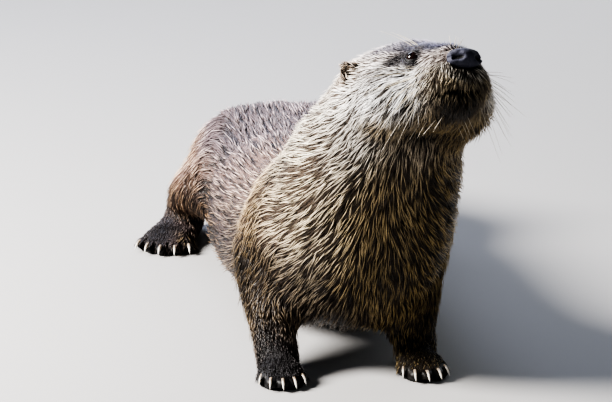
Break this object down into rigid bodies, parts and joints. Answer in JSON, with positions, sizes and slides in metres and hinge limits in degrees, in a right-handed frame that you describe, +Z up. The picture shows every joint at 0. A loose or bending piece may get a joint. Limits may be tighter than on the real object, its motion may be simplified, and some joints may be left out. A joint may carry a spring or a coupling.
{
  "type": "river otter",
  "caption": "Life-size still model of a river otter standing low on four feet, head raised and turned to its left, tail laid on the floor behind it.",
  "frame": {"origin": "on the floor, under the middle of the whole animal's box in X and Y", "axes": "+X along the trunk from the tail to the head, +Y to the animal's left, +Z up; the soles are on Z = 0"},
  "size_m": [0.9474, 0.3564, 0.2891],
  "materials": {
    "body_coat": "damp brown fur in short locks",
    "pale_coat": "damp silvery fur on cheeks, lips and throat",
    "leg_and_tail_coat": "short dark brown fur lying flat",
    "foot_skin": "wet near-black skin and very short fur",
    "nose_skin": "moist pebbled dark grey skin",
    "eye": "wet dark brown eye",
    "claw": "pale translucent horn"
  },
  "bodies": {
    "root": {"rump": "body_coat", "trunk": "body_coat", "chest": "body_coat", "neck": "body_coat", "tail_base": "leg_and_tail_coat", "tail_middle": "leg_and_tail_coat", "tail_tip": "leg_and_tail_coat", "head": "pale_coat", "lower_jaw": "pale_coat", "nose": "nose_skin", "eye_left": "eye", "eye_right": "eye", "ear_left": "body_coat", "ear_right": "body_coat", "foreleg_right_upper": "body_coat", "foreleg_right_lower": "leg_and_tail_coat", "foreleg_right_foot": "foot_skin", "foreleg_right_claw_1": "claw", "foreleg_right_claw_2": "claw", "foreleg_right_claw_3": "claw", "foreleg_right_claw_4": "claw", "foreleg_right_claw_5": "claw", "foreleg_left_upper": "body_coat", "foreleg_left_lower": "leg_and_tail_coat", "foreleg_left_foot": "foot_skin", "foreleg_left_claw_1": "claw", "foreleg_left_claw_2": "claw", "foreleg_left_claw_3": "claw", "foreleg_left_claw_4": "claw", "foreleg_left_claw_5": "claw", "hindleg_right_upper": "body_coat", "hindleg_right_lower": "leg_and_tail_coat", "hindleg_right_foot": "foot_skin", "hindleg_right_claw_1": "claw", "hindleg_right_claw_2": "claw", "hindleg_right_claw_3": "claw", "hindleg_right_claw_4": "claw", "hindleg_right_claw_5": "claw", "hindleg_left_upper": "body_coat", "hindleg_left_lower": "leg_and_tail_coat", "hindleg_left_foot": "foot_skin", "hindleg_left_claw_1": "claw", "hindleg_left_claw_2": "claw", "hindleg_left_claw_3": "claw", "hindleg_left_claw_4": "claw", "hindleg_left_claw_5": "claw"}
  },
  "joints": []
}
